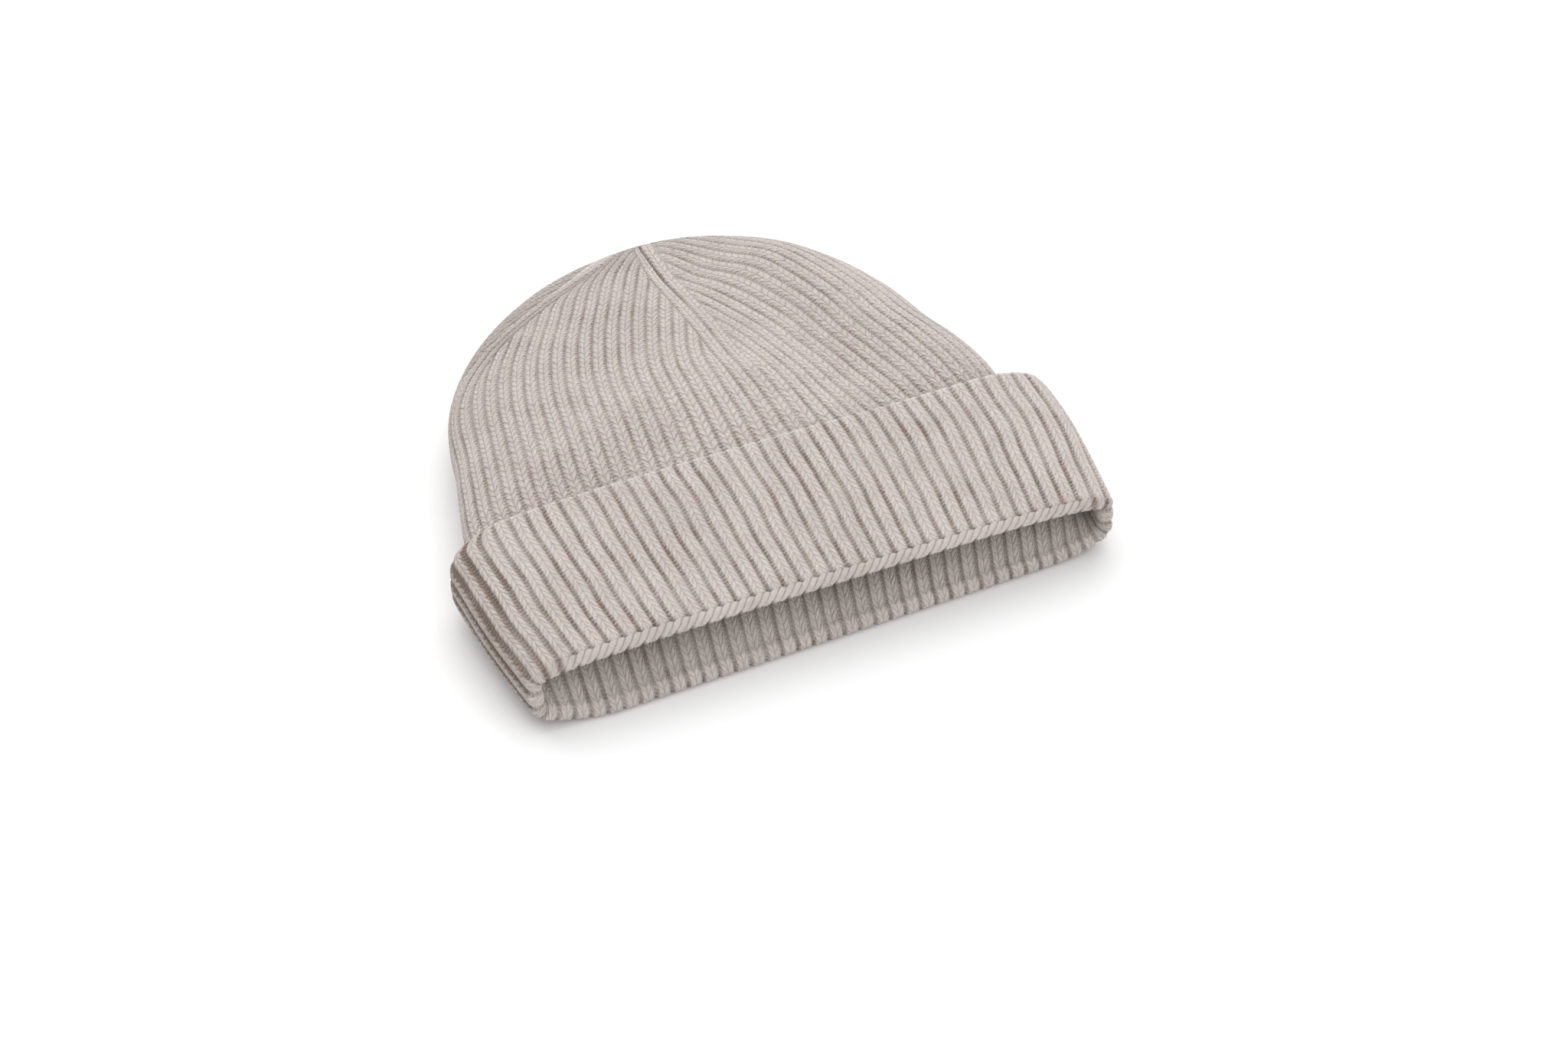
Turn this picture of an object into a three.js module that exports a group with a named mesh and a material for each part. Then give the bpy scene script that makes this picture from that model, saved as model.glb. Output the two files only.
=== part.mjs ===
// A ribbed wool beanie that lies on its back, with its edge turned up round the mouth as a cuff.
// Millimetres. X runs across the mouth, Y from the mouth to the tip, and Z up from the surface
// that the hat lies on. The origin is at the bottom centre of the whole hat.

import * as THREE from 'three';

// Knitting: ribs run round the hat, and every rib is a crest column and a groove column.
// Four gores of ribs close the crown, with a dart between each gore and the next.

const GORE_COUNT = 4;
const RIBS_PER_GORE = 20;
const COLUMNS_PER_RIB = 2;
const COLUMNS_PER_GORE = RIBS_PER_GORE * COLUMNS_PER_RIB;
const COLUMN_COUNT = GORE_COUNT * COLUMNS_PER_GORE;
const FIRST_DART = 0.025;
const FABRIC = 2.0;
const RIB_HEIGHT = 0.9;
const LAYER = FABRIC + RIB_HEIGHT;
const LAYER_GAP = 0.4;
const END_GAP = 0.3;
const INNER_LAYER = LAYER + LAYER_GAP;

// Cuff: an outer wall with a rounded upper edge, a roll at the mouth and a short return inside.

const CUFF_EDGE = 66;
const EDGE_ROUNDING = 1.8;
const ROLL_CENTRE_Y = 2;
const ROLL_RADIUS = (INNER_LAYER + LAYER) / 2;
const RETURN_END = 24;
const CUFF_ROWS = 3;
const ROLL_STEPS = 4;
const EDGE_STEPS = 3;
const CREASE_Y = ROLL_CENTRE_Y + 0.2;

const CUFF_SECTIONS = [
  { y: 0, half: 113.0, top: 27.5, widest: 16.0, power: 4.6 },
  { y: 22, half: 116.4, top: 31.0, widest: 18.0, power: 4.3 },
  { y: 44, half: 118.4, top: 34.5, widest: 20.0, power: 4.1 },
  { y: 66, half: 118.8, top: 37.2, widest: 20.0, power: 3.8 },
];
const CUFF_LOW_POWER = 4.6;

// Crown: the body of the hat up to the darts, then a dome that closes at the tip.

const CROWN_START = RETURN_END + END_GAP;
const DART_START = 118;
const CROWN_SECTIONS = [
  { y: 24, half: 109.0, top: 27.5, widest: 14.0, power: 3.6 },
  { y: 44, half: 107.0, top: 30.5, widest: 15.0, power: 3.0 },
  { y: 66, half: 106.2, top: 33.5, widest: 15.5, power: 2.7 },
  { y: 82, half: 104.8, top: 37.6, widest: 16.5, power: 2.5 },
  { y: 100, half: 101.0, top: 40.4, widest: 17.5, power: 2.4 },
  { y: 118, half: 95.0, top: 40.0, widest: 17.0, power: 2.4 },
];
const CROWN_LOW_POWER = 3.2;
const TIP = { x: 16.9, y: 199, z: 27.4 };
const DOME_HALF_POWER = 1.07;
const DOME_TOP_POWER = 1.2;
const GORE_PUFF = 1.8;
const FULL_PUFF_AT = 50;
const DART_SNAP = 0.35;
const FREE_FROM = RETURN_END;
const FREE_AT = 70;

// Rows of the crown's two skins, as stations: below zero, millimetres before the darts start,
// and above zero, degrees round the dome.

const OUTER_STATIONS = [
  CROWN_START - DART_START, -66, -52, -42, -32, -20, -10, 0,
  11, 22, 33, 44, 55, 66, 78,
];
const INNER_STATIONS = [CROWN_START - DART_START, -52, -24, 0, 22, 44, 62];
const INNER_TIP_BACK = 5;

// How the hat lies: where its middle runs, how the mouth slants, and the folds of its upper side.

const MIDDLE = [
  { y: 0, x: -7.0 },
  { y: 66, x: -2.5 },
  { y: 92, x: 0.8 },
  { y: 118, x: 1.2 },
];
const UNDERLIP_REACH = 6;
const MOUTH_SKEW = -0.044;
const FLATTENED = 1.5;
const CROWN_LANDS = 88;
const UPPER_SIDE = { from: 6, to: 30 };
const FOLDS = [
  { fromX: 96, fromY: 84, toX: 38, toY: 178, rise: 4.5, width: 20 },
  { fromX: 40, fromY: 96, toX: 22, toY: 160, rise: -2.0, width: 24 },
];

const KNIT_COLOUR = 0xc6bdb6;
const KNIT_ROUGHNESS = 0.95;

const { lerp, clamp, smoothstep, degToRad } = THREE.MathUtils;

// Tables

function slopeAt(rows, name, index) {
  const before = rows[Math.max(index - 1, 0)];
  const after = rows[Math.min(index + 1, rows.length - 1)];
  return (after[name] - before[name]) / (after.y - before.y);
}

// The value of one column of a table at any Y, on a smooth curve through its rows.
function valueAt(rows, name, y) {
  const at = clamp(y, rows[0].y, rows[rows.length - 1].y);
  const found = rows.findIndex((row, index) => index > 0 && at <= row.y);
  const low = rows[found - 1];
  const high = rows[found];
  const span = high.y - low.y;
  const t = (at - low.y) / span;
  const rise = (high[name] - low[name]) * t * t * (3 - 2 * t);
  const slopeLow = slopeAt(rows, name, found - 1) * span * t * (1 - t) * (1 - t);
  const slopeHigh = slopeAt(rows, name, found) * span * t * t * (t - 1);
  return low[name] + rise + slopeLow + slopeHigh;
}

// Sections

const LOOP_POINTS = 360;

function powered(value, power) {
  return Math.sign(value) * Math.abs(value) ** (2 / power);
}

// A flattened round section at one Y, from its left side over the top, to the right side and back
// below. A share of 0 to 1 of its length names a point on it. Directions along it are taken over a
// short stretch to each side of a point.
const SHARE_STEP = 0.004;

class Loop {
  constructor(section) {
    const { half, top, low, widest, power, lowPower, centre } = section;
    this.points = [];
    this.lengths = [0];
    for (let index = 0; index <= LOOP_POINTS; index += 1) {
      const angle = (index / LOOP_POINTS) * 2 * Math.PI;
      const upper = angle < Math.PI;
      const reach = upper ? top - widest : widest - low;
      const bend = upper ? power : lowPower;
      const x = centre - half * powered(Math.cos(angle), bend);
      const z = widest + reach * powered(Math.sin(angle), bend);
      this.points.push(new THREE.Vector2(x, z));
    }
    for (let index = 1; index <= LOOP_POINTS; index += 1) {
      const step = this.points[index].distanceTo(this.points[index - 1]);
      this.lengths.push(this.lengths[index - 1] + step);
    }
    this.perimeter = this.lengths[LOOP_POINTS];
  }

  at(share) {
    const length = (share - Math.floor(share)) * this.perimeter;
    let low = 0;
    let high = LOOP_POINTS;
    while (high - low > 1) {
      const middle = (low + high) >> 1;
      if (this.lengths[middle] <= length) {
        low = middle;
      } else {
        high = middle;
      }
    }
    const t = (length - this.lengths[low]) / (this.lengths[high] - this.lengths[low]);
    return this.points[low].clone().lerp(this.points[high], t);
  }

  // A point that lies the given depth inside the section, square to it.
  inside(share, depth) {
    const along = this.at(share + SHARE_STEP).sub(this.at(share - SHARE_STEP)).normalize();
    const point = this.at(share);
    return new THREE.Vector2(point.x + along.y * depth, point.y - along.x * depth);
  }
}

function middleAt(y) {
  return valueAt(MIDDLE, 'x', y);
}

const cuffLoops = new Map();

function cuffLoop(y) {
  if (!cuffLoops.has(y)) {
    cuffLoops.set(y, new Loop({
      half: valueAt(CUFF_SECTIONS, 'half', y),
      top: valueAt(CUFF_SECTIONS, 'top', y),
      widest: valueAt(CUFF_SECTIONS, 'widest', y),
      power: valueAt(CUFF_SECTIONS, 'power', y),
      low: -FLATTENED,
      lowPower: CUFF_LOW_POWER,
      centre: middleAt(y),
    }));
  }
  return cuffLoops.get(y);
}

// The height that the crown's underside lies at: on the cuff, and past it on the surface.
function crownFloor(y) {
  return INNER_LAYER * (1 - smoothstep(y, CUFF_EDGE, CROWN_LANDS));
}

function stationY(station) {
  if (station <= 0) {
    return DART_START + station;
  }
  return DART_START + (TIP.y - DART_START) * Math.sin(degToRad(station));
}

const crownLoops = new Map();

function crownLoop(station) {
  if (!crownLoops.has(station)) {
    const y = stationY(station);
    const left = Math.cos(degToRad(Math.max(station, 0)));
    const towardsTip = (value, goal, power) => goal + (value - goal) * left ** power;
    crownLoops.set(station, new Loop({
      half: towardsTip(valueAt(CROWN_SECTIONS, 'half', y), 0, DOME_HALF_POWER),
      top: towardsTip(valueAt(CROWN_SECTIONS, 'top', y), TIP.z, DOME_TOP_POWER),
      widest: towardsTip(valueAt(CROWN_SECTIONS, 'widest', y), TIP.z, 1),
      power: valueAt(CROWN_SECTIONS, 'power', y),
      low: towardsTip(crownFloor(y) - FLATTENED, TIP.z, 1),
      lowPower: CROWN_LOW_POWER,
      centre: towardsTip(middleAt(y), TIP.x, 1),
    }));
  }
  return crownLoops.get(station);
}

// The crown lines the cuff at the mouth, and takes its own section by the cuff's upper edge.
function crownPoint(station, share) {
  const y = stationY(station);
  const own = crownLoop(station).at(share);
  if (y < FREE_AT) {
    const lining = cuffLoop(y).inside(share, INNER_LAYER);
    own.lerpVectors(lining, own, smoothstep(y, FREE_FROM, FREE_AT));
  }
  return new THREE.Vector3(own.x, y, own.y);
}

const STATION_STEP = 0.5;

function crownNormal(station, share) {
  const after = crownPoint(station, share + SHARE_STEP);
  const round = after.sub(crownPoint(station, share - SHARE_STEP));
  const first = Math.max(station - STATION_STEP, CROWN_START - DART_START);
  const along = crownPoint(station + STATION_STEP, share).sub(crownPoint(first, share));
  return round.cross(along).normalize();
}

// Folds and lie

function distanceToFold(fold, x, y) {
  const dx = fold.toX - fold.fromX;
  const dy = fold.toY - fold.fromY;
  const t = clamp(((x - fold.fromX) * dx + (y - fold.fromY) * dy) / (dx * dx + dy * dy), 0, 1);
  return Math.hypot(x - fold.fromX - t * dx, y - fold.fromY - t * dy);
}

// Gives a point of the evenly laid hat its place on the hat as it lies.
function settle(point) {
  const nearMouth = 1 - smoothstep(point.y, 0, CUFF_EDGE);
  const upperSide = smoothstep(point.z, UPPER_SIDE.from, UPPER_SIDE.to);
  const lipHeight = CUFF_SECTIONS[0].top;
  const reach = UNDERLIP_REACH * (1 - clamp(point.z / lipHeight, 0, 1)) * nearMouth;
  const skew = MOUTH_SKEW * point.x * (1 - smoothstep(point.y, CUFF_EDGE, TIP.y));
  let lift = 0;
  for (const fold of FOLDS) {
    const share = distanceToFold(fold, point.x, point.y) / fold.width;
    lift += fold.rise * Math.exp(-share * share) * upperSide;
  }
  return new THREE.Vector3(point.x, point.y - reach + skew, point.z + lift);
}

// Meshes

// A closed body from points and triangles that share them.
class Body {
  constructor() {
    this.points = [];
    this.triangles = [];
  }

  addPoint(point) {
    this.points.push(point);
    return this.points.length - 1;
  }

  addTriangle(a, b, c) {
    if (a !== b && b !== c && c !== a) {
      this.triangles.push(a, b, c);
    }
  }

  // Joins two rows of point numbers that run the same way round.
  addBand(row, next) {
    for (let index = 0; index < row.length; index += 1) {
      const after = (index + 1) % row.length;
      this.addTriangle(row[index], next[index], next[after]);
      this.addTriangle(row[index], next[after], row[after]);
    }
  }

  mesh(name) {
    const geometry = new THREE.BufferGeometry();
    const places = this.points.flatMap((point) => [point.x, point.y, point.z]);
    geometry.setAttribute('position', new THREE.Float32BufferAttribute(places, 3));
    geometry.setIndex(this.triangles);
    geometry.computeVertexNormals();
    const material = new THREE.MeshStandardMaterial({
      color: KNIT_COLOUR,
      roughness: KNIT_ROUGHNESS,
      metalness: 0,
    });
    const mesh = new THREE.Mesh(geometry, material);
    mesh.name = name;
    return mesh;
  }
}

// How far a column lies below the ribs' crests. The cuff shows the knitting's other side, so its
// crests are the crown's grooves.
function grooveDepth(column, turnedUp) {
  const onCrest = column % COLUMNS_PER_RIB === 0;
  return onCrest === turnedUp ? RIB_HEIGHT : 0;
}

// The cuff's profile, once round its thickness: each row is a Y and a depth below the outer crests.

function cuffProfile() {
  const rows = [];
  const wallRows = [];
  for (let index = 0; index < CUFF_ROWS; index += 1) {
    wallRows.push(lerp(CUFF_EDGE - EDGE_ROUNDING, ROLL_CENTRE_Y, index / CUFF_ROWS));
  }
  for (const y of wallRows) {
    rows.push({ y, depth: (groove) => groove, back: 0, outer: true });
  }
  for (let index = 0; index <= ROLL_STEPS; index += 1) {
    const angle = (index / ROLL_STEPS) * Math.PI;
    rows.push({
      y: ROLL_CENTRE_Y,
      depth: (groove) => ROLL_RADIUS - (ROLL_RADIUS - groove) * Math.cos(angle),
      back: Math.sin(angle),
      outer: index === 0,
    });
  }
  const returnDepth = (groove) => INNER_LAYER + RIB_HEIGHT - groove;
  rows.push({ y: RETURN_END, depth: (groove) => returnDepth(groove) + FABRIC, back: 0 });
  rows.push({ y: RETURN_END, depth: returnDepth, back: 0 });
  rows.push({ y: CREASE_Y, depth: returnDepth, back: 0 });
  rows.push({ y: CREASE_Y, depth: (groove) => groove + FABRIC, back: 0 });
  for (const y of wallRows.slice(1).reverse()) {
    rows.push({ y, depth: (groove) => groove + FABRIC, back: 0 });
  }
  for (let index = 0; index < EDGE_STEPS; index += 1) {
    const angle = (index / EDGE_STEPS) * Math.PI;
    rows.push({
      y: CUFF_EDGE - EDGE_ROUNDING + EDGE_ROUNDING * Math.sin(angle),
      depth: (groove) => groove + (FABRIC / 2) * (1 + Math.cos(angle)),
      back: 0,
    });
  }
  return rows;
}

function makeCuff() {
  const body = new Body();
  const rings = cuffProfile().map((row) => {
    const ring = [];
    for (let column = 0; column < COLUMN_COUNT; column += 1) {
      const groove = grooveDepth(column, true);
      const depth = row.depth(groove);
      const place = cuffLoop(row.y).inside(FIRST_DART + column / COLUMN_COUNT, depth);
      const floor = row.outer ? 0 : depth;
      const y = row.y - row.back * (ROLL_RADIUS - groove);
      ring.push(body.addPoint(settle(new THREE.Vector3(place.x, y, Math.max(place.y, floor)))));
    }
    return ring;
  });
  rings.forEach((ring, index) => body.addBand(ring, rings[(index + 1) % rings.length]));
  return body.mesh('cuff');
}

// Where a column runs at a station. Past the darts' start the columns keep their spacing, and the
// outer ones of each gore end on its dart, which takes in those that come within a part of a column.
function columnPlace(column, perimeter, fullPerimeter) {
  const gore = Math.floor(column / COLUMNS_PER_GORE);
  const across = (column % COLUMNS_PER_GORE) / COLUMNS_PER_GORE - 0.5;
  const spread = (across * fullPerimeter) / perimeter;
  const columnsFromDart = ((0.5 - Math.abs(spread)) * perimeter * COLUMNS_PER_GORE) / fullPerimeter;
  const onDart = columnsFromDart < DART_SNAP;
  const side = spread < 0 ? 0 : 1;
  return {
    share: FIRST_DART + (gore + (onDart ? side : spread + 0.5)) / GORE_COUNT,
    column: onDart ? ((gore + side) * COLUMNS_PER_GORE) % COLUMN_COUNT : column,
    across: clamp(spread, -0.5, 0.5),
    ribShare: smoothstep(columnsFromDart, 0, COLUMNS_PER_RIB),
  };
}

// One row of a skin of the crown, the given depth below its outer crests.
function addCrownRow(body, station, fabric) {
  const dartPerimeter = crownLoop(0).perimeter;
  const perimeter = Math.min(crownLoop(station).perimeter, dartPerimeter);
  const fullPerimeter = station > 0 ? dartPerimeter : perimeter;
  const inDome = smoothstep(station, 0, FULL_PUFF_AT);
  const indices = new Map();
  const row = [];
  for (let column = 0; column < COLUMN_COUNT; column += 1) {
    const place = columnPlace(column, perimeter, fullPerimeter);
    if (!indices.has(place.column)) {
      const puff = GORE_PUFF * inDome * Math.cos(place.across * Math.PI) ** 2;
      const groove = grooveDepth(place.column, false) * place.ribShare;
      const depth = groove + fabric - puff;
      const point = crownPoint(station, place.share);
      point.addScaledVector(crownNormal(station, place.share), -depth);
      const floor = crownFloor(point.y) + (fabric > 0 ? depth : 0);
      point.z = Math.max(point.z, floor);
      indices.set(place.column, body.addPoint(settle(point)));
    }
    row.push(indices.get(place.column));
  }
  return row;
}

function addSkin(body, stations, fabric, tip) {
  const rows = stations.map((station) => addCrownRow(body, station, fabric));
  const tipIndex = body.addPoint(settle(tip));
  rows.push(rows[0].map(() => tipIndex));
  return rows;
}

function makeCrown() {
  const body = new Body();
  const outerTip = new THREE.Vector3(TIP.x, TIP.y, TIP.z);
  const innerTip = new THREE.Vector3(TIP.x, TIP.y - INNER_TIP_BACK, TIP.z);
  const outer = addSkin(body, OUTER_STATIONS, 0, outerTip);
  const inner = addSkin(body, INNER_STATIONS, FABRIC, innerTip);
  for (let index = 1; index < outer.length; index += 1) {
    body.addBand(outer[index], outer[index - 1]);
  }
  for (let index = 1; index < inner.length; index += 1) {
    body.addBand(inner[index - 1], inner[index]);
  }
  body.addBand(outer[0], inner[0]);
  return body.mesh('crown');
}

// The whole hat, with its origin at the bottom centre of its box

const hat = new THREE.Group();
hat.add(makeCrown());
hat.add(makeCuff());

const box = new THREE.Box3().setFromObject(hat);
const centre = box.getCenter(new THREE.Vector3());
for (const mesh of hat.children) {
  mesh.geometry.translate(-centre.x, -centre.y, -box.min.z);
}

export default hat;
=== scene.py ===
"""A ribbed wool beanie that lies on its back, with its edge turned up round the mouth as a cuff.

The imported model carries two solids, crown and cuff. Each gets a knitted piece in its place, with
nearly the same sections and lie, and with the ribs, darts, lip and edge of the real knitting.
"""

import math

import bpy
import numpy as np
from mathutils import Matrix, Vector


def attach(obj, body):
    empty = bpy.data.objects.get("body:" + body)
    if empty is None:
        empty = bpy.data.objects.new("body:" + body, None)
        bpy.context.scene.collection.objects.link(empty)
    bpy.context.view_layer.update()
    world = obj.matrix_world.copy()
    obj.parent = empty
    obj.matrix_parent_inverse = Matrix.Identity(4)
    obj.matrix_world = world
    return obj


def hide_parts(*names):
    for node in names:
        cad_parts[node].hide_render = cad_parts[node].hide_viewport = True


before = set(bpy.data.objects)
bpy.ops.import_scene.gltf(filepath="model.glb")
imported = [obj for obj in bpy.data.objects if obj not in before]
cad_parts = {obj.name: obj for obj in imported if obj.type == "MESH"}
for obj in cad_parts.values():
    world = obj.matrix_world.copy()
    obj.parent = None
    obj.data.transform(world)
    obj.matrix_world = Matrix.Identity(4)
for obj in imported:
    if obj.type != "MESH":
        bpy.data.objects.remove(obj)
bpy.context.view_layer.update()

MM = 0.001

# Knitting, in millimetres. The ribs stand side by side round the hat, and a place round it is
# counted in ribs, or as a share of the whole turn.

GORE_COUNT = 4
RIBS_PER_GORE = 20
RIB_COUNT = GORE_COUNT * RIBS_PER_GORE
FIRST_DART = 0.025
FABRIC = 2.0
RIB_HEIGHT = 0.9
LAYER_GAP = 0.4
END_GAP = 0.3
LAYER = FABRIC + RIB_HEIGHT
INNER_LAYER = LAYER + LAYER_GAP
COURSE = 3.0
CROWDING = 0.035

# A rib's sides and the crease in its middle, in parts of a rib's width. Where the knitting is
# opened, the sides move in by OPENED_FLANK and the grooves are deeper by the share OPENED_DEEPER.

FLANK = (0.33, 0.48)
CREASE_WIDTH = 0.07
OPENED_FLANK = (0.13, 0.09)
OPENED_DEEPER = 0.15

# Cuff

CUFF_COLUMNS_PER_RIB = 12
CUFF_EDGE = 66.0
EDGE_ROUNDING = 1.8
ROLL_CENTRE_Y = 2.0
ROLL_RADIUS = (INNER_LAYER + LAYER) / 2
RETURN_END = 24.0
CREASE_Y = ROLL_CENTRE_Y + 0.2
CUFF_GROOVE = 0.95
CUFF_CREASE = 0.12
CUFF_SECTIONS = {
    "y": (0, 22, 44, 66),
    "half": (114.2, 117.3, 119.2, 119.4),
    "top": (27.5, 31.0, 34.5, 37.2),
    "widest": (16.0, 18.0, 20.0, 20.0),
    "power": (4.6, 4.3, 4.1, 3.8),
}
CUFF_LOW_POWER = 4.6

# Crown

CROWN_COLUMNS_PER_RIB = 8
CROWN_START = RETURN_END + END_GAP
DART_START = 118.0
CROWN_GROOVE = 0.7
CROWN_CREASE = 0.10
CROWN_SECTIONS = {
    "y": (24, 44, 66, 82, 100, 118, 136, 199),
    "half": (109.0, 107.8, 107.6, 106.4, 102.2, 97.4, 96.0, 96.0),
    "top": (27.5, 30.5, 33.5, 37.6, 40.4, 40.0, 39.6, 39.6),
    "widest": (14.0, 15.0, 15.5, 16.5, 17.5, 17.0, 17.0, 17.0),
    "power": (3.6, 3.0, 2.7, 2.5, 2.4, 2.4, 2.4, 2.4),
}
CROWN_LOW_POWER = 3.2

# Dome: past the darts' start the section shrinks towards the tip, by powers of the station's cosine,
# and the gores are puffed up between the darts.

TIP = np.array((16.4, 199.0, 28.6))
DOME_HALF_POWER = 1.07
DOME_TOP_POWER = 1.3
DOME_CENTRE_POWER = 0.85
GORE_PUFF = 1.5
FULL_PUFF_AT = 45.0
PUFF_ENDS = (60.0, 85.0)

# Darts. For each station of the dome: where the left dart runs, in ribs round the section, and how
# many ribs of each gore are left between its middle rib and the darts on its two sides.

DARTS = {
    "station": (-20, 0, 18, 32, 40, 48, 55, 62, 75, 90),
    "left_dart": (2.0, 2.0, 2.2, 4.0, 6.4, 9.2, 11.8, 13.8, 16.2, 18.0),
    "upper_left": (10.0, 10.0, 10.0, 8.9, 6.7, 4.7, 3.4, 2.4, 1.1, 0.0),
    "lower_left": (10.0, 10.0, 10.0, 9.3, 7.9, 6.4, 5.1, 3.7, 1.7, 0.0),
    "middle": (10.0, 9.5, 7.7, 6.2, 5.3, 4.6, 3.9, 3.0, 1.4, 0.0),
    "right": (10.0, 9.9, 9.4, 8.4, 7.9, 7.3, 6.6, 5.5, 2.8, 0.0),
}
MIDDLE_DART = 22.0
RIGHT_DART = 42.0
BACK_DART = 62.0

# A spine of SPINE_RIBS runs along each side of a dart, or of SPINE_SHARE of the gore where that is
# less, with a seam in the dart itself. The seam's depth is in millimetres, its width in ribs, and it
# starts between the two stations of SEAM_FROM.

SPINE_RIBS = 1
SPINE_SHARE = 0.25
SPINE_COLUMNS = SPINE_RIBS * CROWN_COLUMNS_PER_RIB
SEAM_DEPTH = 0.9
SEAM_WIDTH = 0.12
SEAM_FROM = (18.0, 40.0)

# Below the darts the ribs of the upper right side lean, by most at the cuff's edge.

LEAN = {"ribs": 2.0, "middle": 31.0, "width": 19.0, "station": -50.0, "ends": (52.0, 90.0)}

# The crown lines the cuff up to FREE_FROM, and has its own section from FREE_AT on.

FREE_FROM = RETURN_END
FREE_AT = 70.0
INNER_TIP_BACK = 5.0

# How the hat lies: the line through the middles of its sections, how far the lower lip reaches out
# past the upper one, how the mouth is skewed, how the underside lies flat, and two soft folds.

MIDDLE = {
    "y": (0, 50, 66, 80, 92, 118, 136, 199),
    "x": (-7.9, -5.4, -4.4, -3.0, -1.8, -0.3, 0.6, 0.6),
}
UNDERLIP_REACH = 5.7
UNDERLIP_SKEW = -0.03
UNDERLIP_CORNER = 0.28
UNDERLIP_CORNER_FROM = (88.0, 116.0)
MOUTH_SKEW = -0.044
FLATTENED = 1.5
CROWN_LANDS = 88.0
UPPER_SIDE = (6.0, 30.0)
FOLDS = (
    {"start": (96, 84), "end": (52, 158), "rise": 3.9, "width": 19},
    {"start": (44, 94), "end": (26, 168), "rise": -6.0, "width": 20},
)

# Camera: where it looks from, round the middle of the hat, and the photograph's framing

IMAGE_WIDTH = 2048
IMAGE_HEIGHT = 1365
SENSOR_WIDTH = 36.0
CAMERA_AZIMUTH = -26.733
CAMERA_ELEVATION = 40.224
CAMERA_DISTANCE = 1.4
CAMERA_TARGET = Vector((0, 0, 0.015))
CLIP_START = 0.01
FOCAL_PIXELS = 4956.0
TARGET_PIXEL = (934.9, 577.9)


# Numbers


def smoothstep(value, low, high):
    t = np.clip((value - low) / (high - low), 0.0, 1.0)
    return t * t * (3 - 2 * t)


def value_at(table, name, place):
    """One column of a table, on a smooth curve through its rows. The first column says where."""
    places = np.array(next(iter(table.values())), float)
    values = np.array(table[name], float)
    rows = np.arange(len(places))
    before = np.maximum(rows - 1, 0)
    after = np.minimum(rows + 1, len(places) - 1)
    slopes = (values[after] - values[before]) / (places[after] - places[before])
    place = np.clip(place, places[0], places[-1])
    high = np.clip(np.searchsorted(places, place), 1, len(places) - 1)
    low = high - 1
    span = places[high] - places[low]
    t = (place - places[low]) / span
    rise = (values[high] - values[low]) * t * t * (3 - 2 * t)
    bend_low = slopes[low] * span * t * (1 - t) ** 2
    bend_high = slopes[high] * span * t * t * (t - 1)
    return values[low] + rise + bend_low + bend_high


# Sections

QUARTER_POINTS = 300
SHARE_STEP = 0.004


def quarter_angles(power):
    """Angles of a quarter turn, crowded so that the section's points are evenly spaced."""
    t = np.linspace(0, 1, QUARTER_POINTS, endpoint=False)
    up = t ** (power / 2)
    down = (1 - t) ** (power / 2)
    return math.pi / 2 * up / (up + down)


def powered(value, power):
    return np.sign(value) * np.abs(value) ** (2 / power)


class Loop:
    """A flattened round section at one Y, from its left side over the top, to the right side and
    back below. A share of 0 to 1 of its length names a point on it."""

    def __init__(self, half, top, low, widest, power, low_power, centre):
        upper = quarter_angles(power)
        lower = quarter_angles(low_power)
        turn = math.pi / 2
        quarters = (upper, upper + turn, lower + 2 * turn, lower + 3 * turn)
        angles = np.concatenate((*quarters, [4 * turn]))
        over = np.arange(len(angles)) < 2 * QUARTER_POINTS
        bend = np.where(over, power, low_power)
        reach = np.where(over, top - widest, widest - low)
        self.x = centre - half * powered(np.cos(angles), bend)
        self.z = widest + reach * powered(np.sin(angles), bend)
        steps = np.hypot(np.diff(self.x), np.diff(self.z))
        self.lengths = np.concatenate(([0.0], np.cumsum(steps)))
        self.perimeter = self.lengths[-1]

    def at(self, share):
        length = (share - np.floor(share)) * self.perimeter
        x = np.interp(length, self.lengths, self.x)
        z = np.interp(length, self.lengths, self.z)
        return np.stack((x, z), -1)

    def inside(self, share, depth):
        """A point that lies the given depth inside the section, square to it."""
        along = self.at(share + SHARE_STEP) - self.at(share - SHARE_STEP)
        along /= np.linalg.norm(along, axis=-1, keepdims=True)
        point = self.at(share)
        x = point[..., 0] + along[..., 1] * depth
        z = point[..., 1] - along[..., 0] * depth
        return np.stack((x, z), -1)


def middle_at(y):
    return value_at(MIDDLE, "x", y)


def cuff_loop(y):
    return Loop(
        half=value_at(CUFF_SECTIONS, "half", y),
        top=value_at(CUFF_SECTIONS, "top", y),
        low=-FLATTENED,
        widest=value_at(CUFF_SECTIONS, "widest", y),
        power=value_at(CUFF_SECTIONS, "power", y),
        low_power=CUFF_LOW_POWER,
        centre=middle_at(y),
    )


def crown_floor(y):
    """The height that the crown's underside lies at: on the cuff, and past it on the surface."""
    return INNER_LAYER * (1 - smoothstep(y, CUFF_EDGE, CROWN_LANDS))


def station_y(station):
    """A station is millimetres before the darts start, or past them degrees round the dome."""
    if station <= 0:
        return DART_START + station
    return DART_START + (TIP[1] - DART_START) * math.sin(math.radians(station))


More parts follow.
